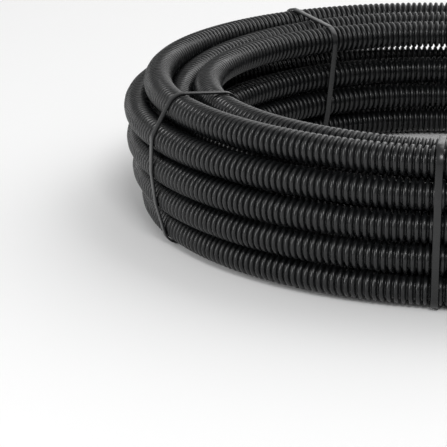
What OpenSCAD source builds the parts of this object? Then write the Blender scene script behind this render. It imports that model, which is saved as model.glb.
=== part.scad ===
// A coil of corrugated conduit, wound loosely and held by cable ties.
// The conduit is one continuous tube: half turns and short straights, each with its bore.
// Its waves are modelled on the free ends; the wound length is drawn as the tube over the wave crests.

/* [Conduit] */
// Outside diameter over the wave crests
tube_d = 16; // [15:0.5:20]
// Clear inside diameter
bore_d = 11; // [9:0.5:12]
// Thickness of the tube's wall
wall = 0.5; // [0.3:0.1:0.8]
// Distance from one wave to the next
wave_pitch = 3.5; // [3:0.1:5]
// Share of the pitch taken by the flat of a crest
crest_share = 0.36; // [0.25:0.01:0.45]
// Share of the pitch taken by the flat of a valley
valley_share = 0.2; // [0.1:0.01:0.3]
// Number of waves on each free end
end_waves = 10; // [6:1:14]
// How far the outer end runs straight on from the coil before its waves
outer_reach = 70; // [65:1:90]

/* [Coil] */
// Diameter of the open middle of the coil
coil_bore_d = 266; // [240:1:320]
// Gap between turns that lie on each other
turn_gap = 0.2; // [0.1:0.05:0.5]
// Radius to which the inner free end is bent
tail_bend_r = 128; // [110:1:140]
// Angle through which the inner free end is bent
tail_angle = 40; // [30:1:50]

/* [Ties] */
// Width of a tie's band
tie_w = 3.6; // [2.5:0.1:4.8]
// Thickness of the band
tie_t = 1.1; // [0.8:0.1:1.5]
// Gap between the band and the tubes it holds
tie_gap = 0.3; // [0.25:0.05:0.5]
// Width of a tie's head
head_w = 5.6; // [5:0.1:7]
// Length of the head along the band
head_l = 5.4; // [5:0.1:7]
// Height of the head over the band
head_h = 3.4; // [2.5:0.1:4.5]
// How far the trimmed tail stands out of the head
stub_h = 1; // [0.5:0.1:2]

/* [Hidden] */

conduit_black = [0.12, 0.12, 0.125];
tie_black = [0.08, 0.08, 0.085];

tube_r = tube_d / 2;
bore_r = bore_d / 2;
pitch = tube_d + turn_gap;
inner_r = coil_bore_d / 2 + tube_r;
end_l = end_waves * wave_pitch;

// How far a joining straight laps into its neighbours, and how far it lies inside their wall on each side
lap = tube_d / 32;
hair = tube_d / 80;
// Shortest straight between two bends
short = tube_d / 10;

// Where each turn lies, in turn pitches outward from the innermost place and up from the floor:
// [out and up at the back, out and up at the front, slack to the left, slack to the right].
// The winding starts at the top of the inner column and ends at the top of the outer one.
LAY = [
    [-0.40, 3.57, 0.51, 3.96, -0.18, 0.62],
    [0.60, 3.71, 0.58, 2.93, 0.26, 0.10],
    [0.01, 2.07, 0.31, 1.88, 0.05, 0.39],
    [0.00, 1.05, -0.05, 0.93, 0.00, 0.15],
    [0.26, 0.00, 0.37, 0.00, 0.00, 0.27],
    [1.75, 0.00, 1.57, 0.00, 0.10, 0.78],
    [1.76, 1.01, 1.62, 1.01, 0.39, 0.88],
    [2.01, 1.99, 1.64, 2.01, 0.46, 1.17],
    [2.72, 2.99, 1.61, 3.02, 0.26, 1.03],
    [2.06, 3.77, 1.52, 4.03, -0.11, 0.00],
];
turns = len(LAY);

// Direction of each tie from the coil's axis, and the side its head is on: 1 outside, -1 inside
TIES = [[60, -1], [127, 1], [210, -1], [267.5, -1], [335, -1]];

function out_r(out) = inner_r + out * pitch;
function up_z(up) = tie_t + tie_gap + tube_r + up * pitch;

// A half turn as [radius and height at the back, radius and height at the front, offset along X]
function left_half(k) =
    let (t = LAY[k]) [out_r(t[0]), up_z(t[1]), out_r(t[2]), up_z(t[3]), -t[4] * pitch];
function right_half(k) =
    let (t = LAY[k], n = LAY[k + 1]) [out_r(n[0]), up_z(n[1]), out_r(t[2]), up_z(t[3]), t[5] * pitch];

function half_r(h) = norm([h[0] + h[2], h[1] - h[3]]) / 2;
function half_tilt(h) = atan2(h[1] - h[3], h[0] + h[2]);
function half_centre(h) = [h[4], (h[0] - h[2]) / 2, (h[1] + h[3]) / 2];

// Where a half turn crosses the upright plane through the coil's axis at angle a, as [radius, height]
function half_at(h, a) =
    let (
        c = half_centre(h), across = half_r(h), deep = (h[0] + h[2]) / 2,
        u = [cos(a), sin(a)],
        qa = pow(u[0] / across, 2) + pow(u[1] / deep, 2),
        qb = u[0] * c[0] / pow(across, 2) + u[1] * c[1] / pow(deep, 2),
        qc = pow(c[0] / across, 2) + pow(c[1] / deep, 2) - 1,
        r = (qb + sqrt(qb * qb - qa * qc)) / qa
    )
    [r, c[2] + (r * u[1] - c[1]) * (h[1] - h[3]) / (h[0] + h[2])];

// The inner free end's bend, as the half turn that it is part of
tail_half = let (f = left_half(0)) [f[0], f[1], 2 * tail_bend_r - f[0], f[1], f[4] + short];

// The tubes that a tie at angle a goes round
function tubes_at(a) = a > 90 && a < 270
    ? [for (k = [0:turns - 1]) half_at(left_half(k), a)]
    : concat(
        [for (k = [0:turns - 2]) half_at(right_half(k), a)],
        a < 90 ? [half_at(tail_half, a)] : []
    );

// The whole part's box in plan, which is centred on the origin
x_low = min([for (k = [0:turns - 1]) left_half(k)[4] - half_r(left_half(k))]) - tube_r;
x_high = max([for (k = [0:turns - 2]) right_half(k)[4] + half_r(right_half(k))]) + tube_r;
y_low = -max([for (k = [0:turns - 1]) left_half(k)[2]]) - tube_r - tie_gap - tie_t;
y_high = max([for (k = [0:turns - 1]) left_half(k)[0]]) + tube_r;
to_middle = [-(x_low + x_high) / 2, -(y_low + y_high) / 2, 0];

module tube_section(inset = 0) {
    difference() {
        circle(r = tube_r - inset, $fn = 40);
        circle(r = bore_r + inset, $fn = 40);
    }
}

module bend(radius, from, sweep) {
    rotate_extrude(angle = sweep, start = from, $fn = 144)
        translate([radius, 0]) tube_section();
}

// A straight of the given length along +Z, with a hair less wall, that laps into what it joins at both ends
module joining_straight(length) {
    translate([0, 0, -lap]) linear_extrude(length + 2 * lap) tube_section(hair);
}

// The same from x0 to x1 at the given Y and Z
module straight(x0, x1, y, z) {
    translate([x0, y, z]) rotate([90, 0, 90]) joining_straight(x1 - x0);
}

module half_turn(h, from) {
    translate(half_centre(h)) rotate([half_tilt(h), 0, 0]) bend(half_r(h), from, 180);
}

// One wave's outline from its start, as [distance along, radius], for a given valley and crest radius
function wave(valley_r, crest_r) =
    let (
        flank = (1 - crest_share - valley_share) / 2,
        soft = (crest_r - valley_r) / 4
    )
    [
        [0, valley_r],
        [valley_share / 2, valley_r],
        [valley_share / 2 + flank * 0.7, crest_r - soft],
        [valley_share / 2 + flank, crest_r],
        [1 - valley_share / 2 - flank, crest_r],
        [1 - valley_share / 2 - flank * 0.7, crest_r - soft],
        [1 - valley_share / 2, valley_r],
    ];

function wave_line(valley_r, crest_r) = concat(
    [for (i = [0:end_waves - 1], p = wave(valley_r, crest_r)) [p[1], (i + p[0]) * wave_pitch]],
    [[valley_r, end_l]]
);

function backward(v) = [for (i = [len(v) - 1:-1:0]) v[i]];

// A free end along +Z from the origin: a straight of the given length, then the waves inside and out
module free_end(reach) {
    joining_straight(reach);
    translate([0, 0, reach]) rotate_extrude($fn = 40)
        polygon(concat(
            wave_line(bore_r + wall, tube_r),
            backward(wave_line(bore_r, tube_r - wall))
        ));
}

module inner_tail() {
    first = left_half(0);
    straight(first[4], tail_half[4], first[0], first[1]);
    translate(half_centre(tail_half)) {
        bend(tail_bend_r, 90 - tail_angle, tail_angle);
        rotate([0, 0, -tail_angle]) translate([0, tail_bend_r, 0]) rotate([0, 90, 0]) free_end(short);
    }
}

module outer_tail() {
    last = left_half(turns - 1);
    translate([last[4], -last[2], last[3]]) rotate([0, 90, 0]) free_end(outer_reach);
}

// One turn and the straights that lead on to the next
module turn(k) {
    here = left_half(k);
    half_turn(here, 90);
    if (k < turns - 1) {
        over = right_half(k);
        next = left_half(k + 1);
        straight(here[4], over[4], -here[2], here[3]);
        half_turn(over, -90);
        straight(next[4], over[4], next[0], next[1]);
    }
}

module conduit() {
    color(conduit_black) translate(to_middle) {
        inner_tail();
        for (k = [0:turns - 1]) turn(k);
        outer_tail();
    }
}

module tubes_outline(tubes, grow) {
    hull()
        for (t = tubes) translate(t) circle(r = tube_r + grow, $fn = 28);
}

function nearest(tubes) = [for (t = tubes) if (t[0] == min([for (s = tubes) s[0]])) t][0];
function farthest(tubes) = [for (t = tubes) if (t[0] == max([for (s = tubes) s[0]])) t][0];

// The head's side view, with its outer edges bevelled, and the trimmed tail standing out of it
module tie_head() {
    bevel = head_h / 4;
    rotate([0, -90, 0]) {
        linear_extrude(head_w, center = true)
            polygon([
                [0, -head_l / 2], [head_h - bevel, -head_l / 2], [head_h, -head_l / 2 + bevel],
                [head_h, head_l / 2 - bevel], [head_h - bevel, head_l / 2], [0, head_l / 2],
            ]);
    }
    translate([-tie_w / 2, -tie_t / 2, 0]) cube([tie_w, tie_t, head_h + stub_h]);
}

module tie(i) {
    a = TIES[i][0];
    side = TIES[i][1];
    tubes = tubes_at(a);
    seat = side > 0 ? farthest(tubes) : nearest(tubes);
    color(tie_black) translate(to_middle) rotate([0, 0, a]) {
        rotate([90, 0, 0])
            linear_extrude(tie_w, center = true)
                difference() {
                    tubes_outline(tubes, tie_gap + tie_t);
                    tubes_outline(tubes, tie_gap);
                }
        translate([seat[0] + side * (tube_r + tie_gap + tie_t / 2), 0, seat[1]])
            rotate([90, 0, side * 90]) tie_head();
    }
}

conduit();
tie(0);  // tie_1
tie(1);  // tie_2
tie(2);  // tie_3
tie(3);  // tie_4
tie(4);  // tie_5
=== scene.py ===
"""Dresses a coil of corrugated conduit that cable ties hold together.

The conduit is one continuous tube led through ten uneven turns. Its route repeats the places that
its solids have, and this script adds the waves of the wall along the whole route, the bore behind
them, the moulded bands and heads of the ties, their plastics, and a studio for them to lie in.
"""

import logging
import math
from dataclasses import dataclass, field
from enum import Enum
from typing import Any, Iterable, Sequence

import bpy
import numpy as np
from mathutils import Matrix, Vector

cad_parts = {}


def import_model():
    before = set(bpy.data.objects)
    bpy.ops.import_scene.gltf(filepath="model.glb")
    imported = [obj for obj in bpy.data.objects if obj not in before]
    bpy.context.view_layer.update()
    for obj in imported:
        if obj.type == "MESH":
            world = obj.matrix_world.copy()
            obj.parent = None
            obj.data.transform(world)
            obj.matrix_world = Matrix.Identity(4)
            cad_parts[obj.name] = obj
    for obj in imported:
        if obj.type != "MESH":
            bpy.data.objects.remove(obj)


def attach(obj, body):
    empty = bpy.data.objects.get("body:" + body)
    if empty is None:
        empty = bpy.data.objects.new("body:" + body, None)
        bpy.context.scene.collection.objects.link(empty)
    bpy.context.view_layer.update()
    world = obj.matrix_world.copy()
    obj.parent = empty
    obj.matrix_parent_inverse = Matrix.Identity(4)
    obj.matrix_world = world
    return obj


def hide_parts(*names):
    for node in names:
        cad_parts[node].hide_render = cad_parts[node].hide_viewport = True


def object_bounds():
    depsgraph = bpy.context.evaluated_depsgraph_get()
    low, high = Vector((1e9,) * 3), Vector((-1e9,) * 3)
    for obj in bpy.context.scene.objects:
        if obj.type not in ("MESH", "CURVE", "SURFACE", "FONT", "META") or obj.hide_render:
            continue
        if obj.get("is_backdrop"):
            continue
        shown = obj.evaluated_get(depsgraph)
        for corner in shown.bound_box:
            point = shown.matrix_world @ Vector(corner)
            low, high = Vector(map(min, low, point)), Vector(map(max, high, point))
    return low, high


log = logging.getLogger("coil")

MM = 0.001
BODY = "root"

# The strengths between which nearly all of a noise lies
NOISE_RANGE = (0.3, 0.7)


# ---------------------------------------------------------------- colours and nodes


def linear(hex_colour: str) -> tuple[float, float, float, float]:
    """Turns an sRGB hex colour to the linear colour that a shader takes.

    Args:
        hex_colour: the colour as "#rrggbb".

    Returns:
        Red, green, blue and an alpha of 1.
    """
    parts = [int(hex_colour[i : i + 2], 16) / 255 for i in (1, 3, 5)]
    red, green, blue = (
        p / 12.92 if p <= 0.04045 else ((p + 0.055) / 1.055) ** 2.4 for p in parts
    )
    return red, green, blue, 1.0


def add_node(
    tree: bpy.types.NodeTree,
    kind: str,
    settings: dict[str, Any] | None = None,
    inputs: dict[str | int, Any] | None = None,
) -> bpy.types.Node:
    """Adds one node, sets it up and links what feeds it.

    Args:
        tree: the node tree to add to.
        kind: the node's type name.
        settings: the node's own properties.
        inputs: each input by name or number, as a value or as an output socket to link.

    Returns:
        The new node.
    """
    node = tree.nodes.new(kind)
    for name, value in (settings or {}).items():
        setattr(node, name, value)
    for name, value in (inputs or {}).items():
        if isinstance(value, bpy.types.NodeSocket):
            tree.links.new(value, node.inputs[name])
        else:
            node.inputs[name].default_value = value
    return node


def new_material(name: str) -> tuple[bpy.types.Material, bpy.types.NodeTree]:
    """Makes a material with an empty node tree.

    Args:
        name: the material's name.

    Returns:
        The material and its node tree.
    """
    material = bpy.data.materials.new(name)
    material.use_nodes = True
    material.node_tree.nodes.clear()
    return material, material.node_tree


def finish_material(tree: bpy.types.NodeTree, shader: bpy.types.Node) -> None:
    """Links a shader to the material's output.

    Args:
        tree: the material's node tree.
        shader: the shader to show.
    """
    add_node(tree, "ShaderNodeOutputMaterial", inputs={"Surface": shader.outputs[0]})


def noise(tree: bpy.types.NodeTree, size_mm: float, detail: float) -> bpy.types.NodeSocket:
    """Adds an even noise at a size in millimetres.

    Args:
        tree: the material's node tree.
        size_mm: about how large one patch is.
        detail: how many finer layers it has.

    Returns:
        The noise's strength.
    """
    place = add_node(tree, "ShaderNodeTexCoord").outputs["Object"]
    inputs = {"Vector": place, "Scale": 1 / (size_mm * MM), "Detail": detail}
    return add_node(tree, "ShaderNodeTexNoise", inputs=inputs).outputs["Fac"]


def uneven_shine(
    tree: bpy.types.NodeTree,
    pattern: bpy.types.NodeSocket,
    roughness: float,
    spread: tuple[float, float],
) -> bpy.types.NodeSocket:
    """Lets the roughness follow a pattern.

    Args:
        tree: the material's node tree.
        pattern: the pattern's strength.
        roughness: the roughness that the plastic has on the whole.
        spread: what is added where the pattern is weak, and where it is strong.

    Returns:
        The roughness.
    """
    low, high = NOISE_RANGE
    inputs = {
        "Value": pattern,
        "From Min": low,
        "From Max": high,
        "To Min": roughness + spread[0],
        "To Max": roughness + spread[1],
    }
    return add_node(tree, "ShaderNodeMapRange", inputs=inputs).outputs["Result"]


def relief(
    tree: bpy.types.NodeTree, pattern: bpy.types.NodeSocket, strength: float, depth_mm: float
) -> bpy.types.NodeSocket:
    """Raises a pattern as fine relief.

    Args:
        tree: the material's node tree.
        pattern: the pattern's strength.
        strength: how much of the relief shows.
        depth_mm: the relief's depth.

    Returns:
        The surface's direction.
    """
    inputs = {"Height": pattern, "Strength": strength, "Distance": depth_mm * MM}
    return add_node(tree, "ShaderNodeBump", inputs=inputs).outputs["Normal"]


@dataclass(frozen=True)
class ConduitPlastic:
    """Carbon-black polypropylene, extruded and then formed to waves in travelling half moulds.

    It has a satin shine, a faint mottle in its shade and its shine, and a fine grain.
    """

    colour: str = "#0f1011"
    mottled: str = "#171819"
    roughness: float = 0.27
    shine_spread: tuple[float, float] = (-0.05, 0.06)
    mottle_mm: float = 9.0
    mottle_detail: float = 3.0
    grain_mm: float = 0.7
    grain_detail: float = 2.0
    grain_strength: float = 0.12
    grain_depth_mm: float = 0.05
    ior: float = 1.49

    def material(self) -> bpy.types.Material:
        """Builds the plastic.

        Returns:
            The material.
        """
        material, tree = new_material("polypropylene_moulded")
        mottle = noise(tree, self.mottle_mm, self.mottle_detail)
        grain = noise(tree, self.grain_mm, self.grain_detail)
        shade = add_node(
            tree,
            "ShaderNodeMix",
            {"data_type": "RGBA"},
            {0: mottle, "A": linear(self.colour), "B": linear(self.mottled)},
        ).outputs["Result"]
        plastic = add_node(
            tree,
            "ShaderNodeBsdfPrincipled",
            inputs={
                "Base Color": shade,
                "Roughness": uneven_shine(tree, mottle, self.roughness, self.shine_spread),
                "Normal": relief(tree, grain, self.grain_strength, self.grain_depth_mm),
                "IOR": self.ior,
            },
        )
        finish_material(tree, plastic)
        return material


@dataclass(frozen=True)
class TieNylon:
    """Black nylon 6.6, injection moulded in a polished mould.

    It is a shade paler than the conduit and about as smooth, and its shine is broken up a little by
    the flow of the melt.
    """

    colour: str = "#141516"
    roughness: float = 0.26
    shine_spread: tuple[float, float] = (-0.05, 0.08)
    flow_mm: float = 4.0
    flow_detail: float = 4.0
    flow_strength: float = 0.15
    flow_depth_mm: float = 0.06
    ior: float = 1.53

    def material(self) -> bpy.types.Material:
        """Builds the nylon.

        Returns:
            The material.
        """
        material, tree = new_material("nylon_moulded")
        flow = noise(tree, self.flow_mm, self.flow_detail)
        plastic = add_node(
            tree,
            "ShaderNodeBsdfPrincipled",
            inputs={
                "Base Color": linear(self.colour),
                "Roughness": uneven_shine(tree, flow, self.roughness, self.shine_spread),
                "Normal": relief(tree, flow, self.flow_strength, self.flow_depth_mm),
                "IOR": self.ior,
            },
        )
        finish_material(tree, plastic)
        return material


@dataclass(frozen=True)
class FloorPaper:
    """Matt white background paper, which scatters light evenly and takes a soft shadow."""

    colour: str = "#f4f4f4"
    roughness: float = 0.9
    specular: float = 0.2

    def material(self) -> bpy.types.Material:
        """Builds the paper.

        Returns:
            The material.
        """
        material, tree = new_material("background_paper")
        paper = add_node(
            tree,
            "ShaderNodeBsdfPrincipled",
            inputs={
                "Base Color": linear(self.colour),
                "Roughness": self.roughness,
                "Specular IOR Level": self.specular,
            },
        )
        finish_material(tree, paper)
        return material


# ---------------------------------------------------------------- meshes


def grid_mesh(
    name: str, rings: np.ndarray, close_along: bool = False, inward: bool = False
) -> bpy.types.Mesh:
    """Makes a mesh of quads from rings of points, each ring closed on itself.

    Args:
        name: the mesh's name.
        rings: points in metres, as [ring, point, 3].
        close_along: whether the last ring joins the first.
        inward: whether the faces look to the inside of the rings.

    Returns:
        The mesh, shaded smooth.
    """
    count, sides = rings.shape[:2]
    spans = count if close_along else count - 1
    ring = np.arange(spans)[:, None]
    point = np.arange(sides)[None, :]
    following = (point + 1) % sides
    here, there = ring * sides, ((ring + 1) % count) * sides
    corners = [here + point, here + following, there + following, there + point]
    quads = np.stack(corners[::-1] if inward else corners, axis=-1).reshape(-1, 4)
    mesh = bpy.data.meshes.new(name)
    mesh.vertices.add(count * sides)
    mesh.vertices.foreach_set("co", rings.astype(np.float32).ravel())
    mesh.loops.add(quads.size)
    mesh.loops.foreach_set("vertex_index", quads.astype(np.int32).ravel())
    mesh.polygons.add(len(quads))
    mesh.polygons.foreach_set("loop_start", np.arange(0, quads.size, 4, dtype=np.int32))
    mesh.polygons.foreach_set("use_smooth", np.ones(len(quads), dtype=bool))
    mesh.update(calc_edges=True)
    mesh.validate()
    return mesh


def add_piece(mesh: bpy.types.Mesh, material: bpy.types.Material) -> bpy.types.Object:
    """Puts a mesh into the scene as a piece of the coil.

    Args:
        mesh: the piece's mesh, in the part's frame.
        material: its finish.

    Returns:
        The new object, riding on the coil's body.
    """
    piece = bpy.data.objects.new(mesh.name, mesh)
    bpy.context.scene.collection.objects.link(piece)
    mesh.materials.append(material)
    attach(piece, BODY)
    return piece


def join_pieces(name: str, objects: Sequence[bpy.types.Object]) -> bpy.types.Object:
    """Joins objects into the first of them and names it.

    Args:
        name: the joined object's name.
        objects: the objects to join.

    Returns:
        The joined object.
    """
    with bpy.context.temp_override(
        active_object=objects[0], selected_editable_objects=list(objects)
    ):
        bpy.ops.object.join()
    objects[0].name = objects[0].data.name = name
    return objects[0]


# ---------------------------------------------------------------- the route of the conduit


@dataclass(frozen=True)
class HalfTurn:
    """A half circle in a plane that holds the X direction, between the coil's back and front.

    Lengths are in millimetres from the coil's axis and the floor.
    """

    back_r: float
    back_z: float
    front_r: float
    front_z: float
    offset: float

    @property
    def radius(self) -> float:
        """Radius of the circle in its own plane."""
        return math.hypot(self.back_r + self.front_r, self.back_z - self.front_z) / 2

    @property
    def centre(self) -> np.ndarray:
        """Centre of the circle."""
        return np.array(
            [self.offset, (self.back_r - self.front_r) / 2, (self.back_z + self.front_z) / 2]
        )

    @property
    def axes(self) -> tuple[np.ndarray, np.ndarray]:
        """Two unit vectors of the circle's plane: along X, and from the front to the back."""
        tilt = math.atan2(self.back_z - self.front_z, self.back_r + self.front_r)
        return np.array([1.0, 0, 0]), np.array([0, math.cos(tilt), math.sin(tilt)])

    def arc(self, start: float, end: float) -> "Arc":
        """Cuts a stretch out of the circle.

        Args:
            start: the angle that it begins at, in degrees from the X direction to the back.
            end: the angle that it ends at.

        Returns:
            The stretch.
        """
        right, back = self.axes
        return Arc(self.centre, right, back, self.radius, math.radians(start), math.radians(end))

    def at(self, azimuth: float) -> tuple[float, float]:
        """Where the half turn crosses the upright plane through the coil's axis.

        Args:
            azimuth: the plane's direction in degrees.

        Returns:
            Distance from the coil's axis, and height.
        """
        centre, across, deep = self.centre, self.radius, (self.back_r + self.front_r) / 2
        out = np.array([math.cos(math.radians(azimuth)), math.sin(math.radians(azimuth))])
        scale = np.array([across, deep])
        a = float(((out / scale) ** 2).sum())
        b = float((out * centre[:2] / scale**2).sum())
        c = float(((centre[:2] / scale) ** 2).sum()) - 1
        r = (b + math.sqrt(b * b - a * c)) / a
        rise = (self.back_z - self.front_z) / (self.back_r + self.front_r)
        return r, float(centre[2] + (r * out[1] - centre[1]) * rise)


@dataclass(frozen=True)
class Arc:
    """A stretch of the route along a circle."""

    centre: np.ndarray
    right: np.ndarray
    back: np.ndarray
    radius: float
    start: float
    end: float

    @property
    def length(self) -> float:
        """Length in millimetres."""
        return abs(self.end - self.start) * self.radius

    def follow(self, s: np.ndarray) -> tuple[np.ndarray, np.ndarray]:
        """Finds places along the stretch.

        Args:
            s: distances from its start, in millimetres.

        Returns:
            The points and the directions there, each as [place, 3].
        """
        way = math.copysign(1.0, self.end - self.start)
        angle = self.start + way * s / self.radius
        cos, sin = np.cos(angle)[:, None], np.sin(angle)[:, None]
        points = self.centre + self.radius * (cos * self.right + sin * self.back)
        return points, way * (cos * self.back - sin * self.right)


@dataclass(frozen=True)
class Line:
    """A straight stretch of the route."""

    begin: np.ndarray
    finish: np.ndarray

    @property
    def length(self) -> float:
        """Length in millimetres."""
        return float(np.linalg.norm(self.finish - self.begin))

    def follow(self, s: np.ndarray) -> tuple[np.ndarray, np.ndarray]:
        """Finds places along the stretch.

        Args:
            s: distances from its start, in millimetres.

        Returns:
            The points and the directions there, each as [place, 3].
        """
        way = (self.finish - self.begin) / self.length
        return self.begin + s[:, None] * way, np.repeat(way[None, :], len(s), axis=0)


@dataclass(frozen=True)
class Place:
    """Where a turn lies, in turn pitches outward from the innermost place and up from the floor."""

    back_out: float
    back_up: float
    front_out: float
    front_up: float
    slack_left: float
    slack_right: float


@dataclass(frozen=True)
class Winding:
    """The route that the conduit takes through the coil, in millimetres."""

    tube_d: float = 16.0
    turn_gap: float = 0.2
    coil_bore_d: float = 266.0
    tail_bend_r: float = 128.0
    tail_angle: float = 40.0
    short: float = 1.6
    outer_reach: float = 70.0
    free_end: float = 35.0
    band: float = 1.1
    band_gap: float = 0.3
    lay: tuple[Place, ...] = (
        Place(-0.40, 3.57, 0.51, 3.96, -0.18, 0.62),
        Place(0.60, 3.71, 0.58, 2.93, 0.26, 0.10),
        Place(0.01, 2.07, 0.31, 1.88, 0.05, 0.39),
        Place(0.00, 1.05, -0.05, 0.93, 0.00, 0.15),
        Place(0.26, 0.00, 0.37, 0.00, 0.00, 0.27),
        Place(1.75, 0.00, 1.57, 0.00, 0.10, 0.78),
        Place(1.76, 1.01, 1.62, 1.01, 0.39, 0.88),
        Place(2.01, 1.99, 1.64, 2.01, 0.46, 1.17),
        Place(2.72, 2.99, 1.61, 3.02, 0.26, 1.03),
        Place(2.06, 3.77, 1.52, 4.03, -0.11, 0.00),
    )

    @property
    def tube_r(self) -> float:
        """Radius over the wave crests."""
        return self.tube_d / 2

    @property
    def pitch(self) -> float:
        """Distance between turns that lie on each other."""
        return self.tube_d + self.turn_gap

    def out(self, places: float) -> float:
        """Distance from the coil's axis for a number of pitches outward."""
        return self.coil_bore_d / 2 + self.tube_r + places * self.pitch

    def up(self, places: float) -> float:
        """Height for a number of pitches upward."""
        return self.band + self.band_gap + self.tube_r + places * self.pitch

    def left_half(self, k: int) -> HalfTurn:
        """The half of turn k from the back over the left to the front."""
        t = self.lay[k]
        return HalfTurn(
            self.out(t.back_out),
            self.up(t.back_up),
            self.out(t.front_out),
            self.up(t.front_up),
            -t.slack_left * self.pitch,
        )

    def right_half(self, k: int) -> HalfTurn:
        """The half from the front of turn k over the right to the back of the next turn."""
        t, after = self.lay[k], self.lay[k + 1]
        return HalfTurn(
            self.out(after.back_out),
            self.up(after.back_up),
            self.out(t.front_out),
            self.up(t.front_up),
            t.slack_right * self.pitch,
        )

    @property
    def tail(self) -> HalfTurn:
        """The half turn that the inner free end's bend is part of."""
        first = self.left_half(0)
        return HalfTurn(
            first.back_r,
            first.back_z,
            2 * self.tail_bend_r - first.back_r,
            first.back_z,
            first.offset + self.short,
        )

    @property
    def lefts(self) -> list[HalfTurn]:
        """Every left half."""
        return [self.left_half(k) for k in range(len(self.lay))]

    @property
    def rights(self) -> list[HalfTurn]:
        """Every right half."""
        return [self.right_half(k) for k in range(len(self.lay) - 1)]

    @property
    def to_middle(self) -> np.ndarray:
        """The shift that centres the part's box in plan on the origin."""
        low = [
            min(h.offset - h.radius for h in self.lefts) - self.tube_r,
            -max(h.front_r for h in self.lefts) - self.tube_r - self.band_gap - self.band,
        ]
        high = [
            max(h.offset + h.radius for h in self.rights) + self.tube_r,
            max(h.back_r for h in self.lefts) + self.tube_r,
        ]
        return np.array([-(low[0] + high[0]) / 2, -(low[1] + high[1]) / 2, 0.0])

    def stretches(self) -> list[Arc | Line]:
        """The whole route from the inner cut end to the outer one.

        Returns:
            Its arcs and straights in order.
        """
        first, last, tail = self.lefts[0], self.lefts[-1], self.tail
        bend = tail.arc(90 - self.tail_angle, 90)
        start, way = (v[0] for v in bend.follow(np.zeros(1)))
        outer_end = last.offset + self.outer_reach + self.free_end
        route: list[Arc | Line] = [
            Line(start - way * (self.short + self.free_end), start),
            bend,
            self.straight(tail.offset, first.offset, first.back_r, first.back_z),
        ]
        for k, here in enumerate(self.lefts):
            route.append(here.arc(90, 270))
            if k < len(self.rights):
                over, after = self.rights[k], self.lefts[k + 1]
                route += [
                    self.straight(here.offset, over.offset, -here.front_r, here.front_z),
                    over.arc(-90, 90),
                    self.straight(over.offset, after.offset, after.back_r, after.back_z),
                ]
        route.append(self.straight(last.offset, outer_end, -last.front_r, last.front_z))
        return route

    @staticmethod
    def straight(x0: float, x1: float, y: float, z: float) -> Line:
        """A straight along X at a given Y and height."""
        return Line(np.array([x0, y, z]), np.array([x1, y, z]))

    def tubes_at(self, azimuth: float) -> list[tuple[float, float]]:
        """The tubes that cross an upright plane through the coil's axis.

        Args:
            azimuth: the plane's direction in degrees.

        Returns:
            Distance from the axis, and height, of each tube.
        """
        if 90 < azimuth < 270:
            return [h.at(azimuth) for h in self.lefts]
        crossing = [h.at(azimuth) for h in self.rights]
        return crossing + ([self.tail.at(azimuth)] if azimuth < 90 else [])


# ---------------------------------------------------------------- the conduit


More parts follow.
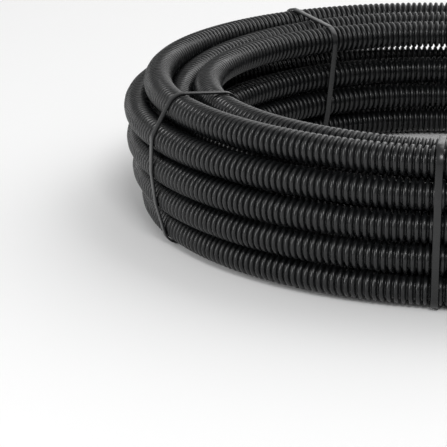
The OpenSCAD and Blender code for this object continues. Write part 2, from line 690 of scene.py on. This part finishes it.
@dataclass
class Conduit:
    """The corrugated tube: its waves, its bore and its two cut ends."""

    winding: Winding
    wave_pitch: float = 3.5
    bore_r: float = 5.5
    wall: float = 0.5
    sides: int = 18
    bore_step: float = 16.0
    open_waves: int = 24
    piece_count: int = 6
    wave: tuple[tuple[float, float], ...] = (
        (0.00, 0.00),
        (0.09, 0.02),
        (0.16, 0.42),
        (0.25, 0.80),
        (0.37, 0.97),
        (0.63, 0.97),
        (0.75, 0.80),
        (0.84, 0.42),
        (0.91, 0.02),
    )
    route: list[Arc | Line] = field(init=False)
    length: float = field(init=False)

    def __post_init__(self) -> None:
        """Works out the route and its length."""
        self.route = self.winding.stretches()
        self.length = sum(stretch.length for stretch in self.route)

    def rings(self, s: np.ndarray, radii: np.ndarray, sides: int) -> np.ndarray:
        """Rings of points round the route.

        Args:
            s: distances along the route, rising.
            radii: each ring's radius.
            sides: points on each ring.

        Returns:
            The points in metres, as [ring, point, 3].
        """
        points, ways = np.empty((len(s), 3)), np.empty((len(s), 3))
        begin = 0.0
        for i, stretch in enumerate(self.route):
            last = i == len(self.route) - 1
            end = begin + stretch.length
            here = (s >= begin) & ((s < end) | last)
            if here.any():
                points[here], ways[here] = stretch.follow(s[here] - begin)
            begin = end
        side = np.cross([0.0, 0.0, 1.0], ways)
        side /= np.linalg.norm(side, axis=1)[:, None]
        rise = np.cross(ways, side)
        angle = np.arange(sides) * 2 * math.pi / sides
        across = np.cos(angle)[None, :, None] * side[:, None, :]
        upward = np.sin(angle)[None, :, None] * rise[:, None, :]
        shell = points[:, None, :] + radii[:, None, None] * (across + upward)
        return (shell + self.winding.to_middle) * MM

    def wave_line(
        self, first: int, last: int, valley: float, crest: float, pitch: float
    ) -> tuple[np.ndarray, np.ndarray]:
        """Draws a run of waves, with the valley that closes it.

        Args:
            first: the number of waves before the run.
            last: the number of waves up to its end.
            valley: radius in the valleys.
            crest: radius that a wave's share of 1 reaches.
            pitch: distance from one wave to the next.

        Returns:
            Distances along the route, and the radius at each.
        """
        share, lift = np.array(self.wave).T
        s = (np.arange(first, last)[:, None] + share[None, :]).ravel() * pitch
        r = np.tile(valley + lift * (crest - valley), last - first)
        return np.append(s, last * pitch), np.append(r, valley)

    def build(self, material: bpy.types.Material) -> list[bpy.types.Object]:
        """Builds the conduit's pieces.

        Args:
            material: the conduit's plastic.

        Returns:
            The waved lengths, and the bore with its cut ends.
        """
        waves = round(self.length / self.wave_pitch)
        pitch = self.length / waves
        crest, valley = self.winding.tube_r, self.bore_r + self.wall
        cuts = np.linspace(0, waves, self.piece_count + 1).round().astype(int)
        pieces = []
        for i, (first, last) in enumerate(zip(cuts[:-1], cuts[1:]), start=1):
            s, r = self.wave_line(first, last, valley, crest, pitch)
            mesh = grid_mesh(f"waves_{i}", self.rings(s, r, self.sides))
            pieces.append(add_piece(mesh, material))
        pieces.append(self.bore(material, pitch, waves))
        return pieces

    def bore(self, material: bpy.types.Material, pitch: float, waves: int) -> bpy.types.Object:
        """The tube's inside, with its waves where the cut ends let one see them.

        Args:
            material: the conduit's plastic.
            pitch: distance from one wave to the next.
            waves: how many waves the conduit has.

        Returns:
            The bore.
        """
        valley, crest = self.bore_r, self.winding.tube_r - self.wall
        near_s, near_r = self.wave_line(0, self.open_waves, valley, crest, pitch)
        far_s, far_r = self.wave_line(waves - self.open_waves, waves, valley, crest, pitch)
        step = self.bore_step
        plain = np.arange(near_s[-1] + step, far_s[0] - step / 2, step)
        rim = [valley + self.wall]
        s = np.concatenate([near_s[:1], near_s, plain, far_s, far_s[-1:]])
        r = np.concatenate([rim, near_r, np.full(len(plain), valley), far_r, rim])
        mesh = grid_mesh("bore", self.rings(s, r, self.sides), inward=True)
        return add_piece(mesh, material)


# ---------------------------------------------------------------- the ties


class HeadSide(Enum):
    """Which side of the turns a tie's head sits on."""

    OUTSIDE = 1
    INSIDE = -1


def hull_of(points: Iterable[tuple[float, float]]) -> list[np.ndarray]:
    """The corners of the points' convex outline.

    Args:
        points: points in a plane.

    Returns:
        The outline's corners, anticlockwise.
    """
    ordered = sorted(set(points))

    def chain(run: Iterable[tuple[float, float]]) -> list[tuple[float, float]]:
        """One side of the outline."""
        kept: list[tuple[float, float]] = []
        for p in run:
            while len(kept) > 1 and (
                (kept[-1][0] - kept[-2][0]) * (p[1] - kept[-2][1])
                - (kept[-1][1] - kept[-2][1]) * (p[0] - kept[-2][0])
                <= 0
            ):
                kept.pop()
            kept.append(p)
        return kept[:-1]

    return [np.array(p) for p in chain(ordered) + chain(reversed(ordered))]


@dataclass
class CableTie:
    """One closed tie: a band pulled taut round the turns, its head, and its trimmed tail.

    Lengths are in millimetres. Each row of head_form is one step up the head's outside: the share
    of the head's height, how far below that it lies, and how far in across and along the band.
    """

    name: str
    azimuth: float
    side: HeadSide
    winding: Winding
    width: float = 3.6
    edge: float = 0.25
    head_w: float = 5.6
    head_l: float = 5.4
    head_h: float = 3.4
    head_form: tuple[tuple[float, float, float, float], ...] = (
        (0.0, 0.0, 0.2, 0.2),
        (0.0, 0.0, 0.0, 0.0),
        (0.55, 0.0, 0.0, 0.0),
        (1.0, 0.5, 0.15, 0.15),
        (1.0, 0.15, 0.35, 0.4),
        (1.0, 0.0, 0.6, 0.7),
    )
    slot_gap_across: float = 0.25
    slot_gap_along: float = 0.45
    slot_lip: float = 0.25
    slot_lip_depth: float = 0.2
    slot_floor: float = 0.3
    stub_h: float = 1.0
    stub_foot: float = 0.2
    stub_edge: float = 0.1
    stub_middle: float = 0.02
    corner_r: float = 0.7
    corner_share: float = 0.4
    corner_steps: int = 3
    arc_step: float = 9.0
    sharp_edge: float = 35.0

    def place(self, flat: np.ndarray, along: np.ndarray) -> np.ndarray:
        """Carries points of the tie's own plane into the part's frame.

        Args:
            flat: distance from the axis and height, as [..., 2].
            along: distance along the coil, as [...].

        Returns:
            Points in metres.
        """
        a = math.radians(self.azimuth)
        out = np.array([math.cos(a), math.sin(a)])
        tangent = np.array([-math.sin(a), math.cos(a)])
        plan = flat[..., :1] * out + along[..., None] * tangent
        spot = np.concatenate([plan, flat[..., 1:]], axis=-1)
        return (spot + self.winding.to_middle) * MM

    @property
    def reach(self) -> float:
        """Distance from a tube's centre to the band's middle line."""
        return self.winding.tube_r + self.winding.band_gap + self.winding.band / 2

    def loop(self) -> tuple[np.ndarray, np.ndarray]:
        """The band's middle line round the turns.

        Returns:
            Its points and their outward directions, each as [point, 2].
        """
        corners = hull_of(self.winding.tubes_at(self.azimuth))
        count = len(corners)
        points, outward = [], []
        for i, corner in enumerate(corners):
            before = corner - corners[i - 1]
            after = corners[(i + 1) % count] - corner
            a0 = math.atan2(-before[0], before[1])
            a1 = math.atan2(-after[0], after[1])
            turn = (a1 - a0) % (2 * math.pi)
            steps = max(1, math.ceil(math.degrees(turn) / self.arc_step))
            for step in range(steps + 1):
                angle = a0 + turn * step / steps
                way = np.array([math.cos(angle), math.sin(angle)])
                points.append(corner + self.reach * way)
                outward.append(way)
        return np.array(points), np.array(outward)

    def band(self) -> bpy.types.Mesh:
        """The band, with its long edges rounded.

        Returns:
            The band's mesh.
        """
        points, outward = self.loop()
        half_w, half_t, e = self.width / 2, self.winding.band / 2, self.edge
        soft = e * (1 - math.sqrt(0.5))
        quarter = [(half_w - e, half_t), (half_w - soft, half_t - soft), (half_w, half_t - e)]
        section = (
            quarter
            + [(x, -y) for x, y in reversed(quarter)]
            + [(-x, -y) for x, y in quarter]
            + [(-x, y) for x, y in reversed(quarter)]
        )
        along = np.array([x for x, _ in section])
        lift = np.array([y for _, y in section])
        flat = points[:, None, :] + lift[None, :, None] * outward[:, None, :]
        spread = np.repeat(along[None, :], len(points), axis=0)
        return grid_mesh(self.name, self.place(flat, spread), close_along=True, inward=True)

    def seat(self) -> tuple[float, float]:
        """Where the head sits on the band's middle line.

        Returns:
            Distance from the coil's axis, and height.
        """
        way = self.side.value
        tube = max(self.winding.tubes_at(self.azimuth), key=lambda t: way * t[0])
        return tube[0] + way * self.reach, tube[1]

    def block(self, sections: Sequence[tuple[float, float, float]]) -> np.ndarray:
        """Stands a form on the band at the head's seat, as rounded rectangles one above another.

        Args:
            sections: for each rectangle, its height over the band, half width and half length.

        Returns:
            The rings of points in metres.
        """
        seat_out, seat_up = self.seat()
        rings = []
        for height, half_w, half_l in sections:
            r = min(self.corner_r, half_w * self.corner_share, half_l * self.corner_share)
            outline = []
            for quadrant in range(4):
                sx = 1 if quadrant in (0, 3) else -1
                sy = 1 if quadrant in (0, 1) else -1
                for step in range(self.corner_steps + 1):
                    angle = math.radians(quadrant * 90 + step * 90 / self.corner_steps)
                    across = sx * (half_w - r) + r * math.cos(angle)
                    outline.append((across, sy * (half_l - r) + r * math.sin(angle)))
            line = np.array(outline)
            out = np.full(len(line), seat_out + self.side.value * height)
            flat = np.stack([out, seat_up + line[:, 1]], axis=-1)
            rings.append(self.place(flat, line[:, 0]))
        return np.array(rings)

    def head(self) -> list[bpy.types.Mesh]:
        """The head with its slot, and the trimmed tail that stands in the slot.

        Returns:
            The meshes of the head and the tail.
        """
        half_w, half_l, h = self.head_w / 2, self.head_l / 2, self.head_h
        tail_w, tail_l = self.width / 2, self.winding.band / 2
        slot_w, slot_l = tail_w + self.slot_gap_across, tail_l + self.slot_gap_along
        lip, edge, middle = self.slot_lip, self.stub_edge, self.stub_middle
        shell = [
            (h * share - below, half_w - in_across, half_l - in_along)
            for share, below, in_across, in_along in self.head_form
        ]
        shell += [
            (h, slot_w + lip, slot_l + lip),
            (h - self.slot_lip_depth, slot_w, slot_l),
            (h * self.slot_floor, slot_w, slot_l),
        ]
        top = h + self.stub_h
        tail = [
            (self.stub_foot, tail_w, tail_l),
            (top - edge, tail_w, tail_l),
            (top, tail_w - edge, tail_l - edge),
            (top, middle, middle),
        ]
        inward = self.side is HeadSide.INSIDE
        return [
            grid_mesh(f"{self.name}_head", self.block(shell), inward=inward),
            grid_mesh(f"{self.name}_tail", self.block(tail), inward=inward),
        ]

    def build(self, material: bpy.types.Material) -> bpy.types.Object:
        """Builds the tie.

        Args:
            material: the tie's nylon.

        Returns:
            The tie as one piece, which stands for its solid.
        """
        parts = [add_piece(mesh, material) for mesh in [self.band(), *self.head()]]
        tie = join_pieces(f"{self.name}_dressed", parts)
        tie.data.set_sharp_from_angle(angle=math.radians(self.sharp_edge))
        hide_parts(self.name)
        return tie


# ---------------------------------------------------------------- the studio


@dataclass(frozen=True)
class Lamp:
    """A soft square lamp that looks at the coil's middle. Metres and watts."""

    name: str
    place: tuple[float, float, float]
    size: float
    power: float

    def build(self, aim: Vector) -> bpy.types.Object:
        """Hangs the lamp.

        Args:
            aim: the point that it looks at.

        Returns:
            The lamp.
        """
        data = bpy.data.lights.new(self.name, "AREA")
        data.shape, data.size, data.energy = "SQUARE", self.size, self.power
        lamp = bpy.data.objects.new(self.name, data)
        lamp.location = self.place
        lamp.rotation_euler = (aim - lamp.location).to_track_quat("-Z", "Y").to_euler()
        bpy.context.scene.collection.objects.link(lamp)
        return lamp


@dataclass
class Studio:
    """A white paper floor, soft lamps, a pale surround and the camera."""

    floor_size: float = 30.0
    surround: str = "#ffffff"
    surround_strength: float = 0.41
    lamps: tuple[Lamp, ...] = (
        Lamp("key", (0.9, 0.8, 1.4), 1.8, 19.0),
        Lamp("back", (0.6, 2.4, 0.9), 1.8, 9.5),
        Lamp("left", (-1.5, -1.0, 0.7), 1.0, 14.5),
        Lamp("front", (0.3, -1.5, 1.5), 0.6, 13.0),
    )
    coil_axis: Vector = field(default_factory=Vector)
    camera_from_axis: tuple[float, float, float] = (0.0, -1.10547, 0.3586)
    camera_pan: float = 6.814
    camera_tilt: float = 18.639
    camera_lens: float = 163.37
    camera_sensor: float = 36.0
    camera_clip: tuple[float, float] = (0.05, 60.0)

    def build(self, aim: Vector) -> None:
        """Sets up everything round the coil.

        Args:
            aim: the coil's middle.
        """
        self.floor()
        for lamp in self.lamps:
            lamp.build(aim)
        self.light_surround()
        self.camera()
        bpy.context.scene.view_settings.view_transform = "Standard"

    def floor(self) -> None:
        """Lays the paper floor."""
        half = self.floor_size / 2
        mesh = bpy.data.meshes.new("paper_floor")
        mesh.from_pydata(
            [(-half, -half, 0), (half, -half, 0), (half, half, 0), (-half, half, 0)],
            [],
            [(0, 1, 2, 3)],
        )
        mesh.materials.append(FloorPaper().material())
        floor = bpy.data.objects.new("paper_floor", mesh)
        bpy.context.scene.collection.objects.link(floor)
        floor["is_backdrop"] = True

    def light_surround(self) -> None:
        """Lights the surround evenly: white where the camera sees it, dimmer as a light."""
        world = bpy.data.worlds.new("surround")
        bpy.context.scene.world = world
        world.use_nodes = True
        tree = world.node_tree
        tree.nodes.clear()
        seen = add_node(tree, "ShaderNodeLightPath").outputs["Is Camera Ray"]
        dim, bright = (
            add_node(
                tree,
                "ShaderNodeBackground",
                inputs={"Color": linear(self.surround), "Strength": strength},
            )
            for strength in (self.surround_strength, 1.0)
        )
        mixed = add_node(
            tree,
            "ShaderNodeMixShader",
            inputs={0: seen, 1: dim.outputs[0], 2: bright.outputs[0]},
        )
        add_node(tree, "ShaderNodeOutputWorld", inputs={"Surface": mixed.outputs[0]})

    def camera(self) -> None:
        """Sets the camera up in front of the coil, turned to the left and down."""
        data = bpy.data.cameras.new("camera")
        data.lens, data.sensor_width = self.camera_lens, self.camera_sensor
        data.clip_start, data.clip_end = self.camera_clip
        camera = bpy.data.objects.new("camera", data)
        camera.location = self.coil_axis + Vector(self.camera_from_axis)
        camera.rotation_euler = (
            math.radians(90 - self.camera_tilt),
            0.0,
            math.radians(self.camera_pan),
        )
        bpy.context.scene.collection.objects.link(camera)
        bpy.context.scene.camera = camera


# ---------------------------------------------------------------- the whole scene


def main() -> None:
    """Builds the scene and reports each piece."""
    logging.basicConfig(level=logging.INFO, format="%(message)s")
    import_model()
    solid_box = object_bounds()
    winding = Winding()
    conduit = Conduit(winding)
    log.info("the conduit's route is %.2f m long", conduit.length * MM)
    lengths = conduit.build(ConduitPlastic().material())
    for piece in lengths:
        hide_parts("conduit")
        log.info("%s: %d faces", piece.name, len(piece.data.polygons))
    nylon = TieNylon().material()
    ties = [
        CableTie("tie_1", 60, HeadSide.INSIDE, winding),
        CableTie("tie_2", 127, HeadSide.OUTSIDE, winding),
        CableTie("tie_3", 210, HeadSide.INSIDE, winding),
        CableTie("tie_4", 267.5, HeadSide.INSIDE, winding),
        CableTie("tie_5", 335, HeadSide.INSIDE, winding),
    ]
    for tie in ties:
        piece = tie.build(nylon)
        log.info("%s: %d faces", piece.name, len(piece.data.polygons))
    low, high = solid_box
    Studio(coil_axis=Vector(winding.to_middle * MM)).build((low + high) / 2)


if __name__ == "__main__":
    main()
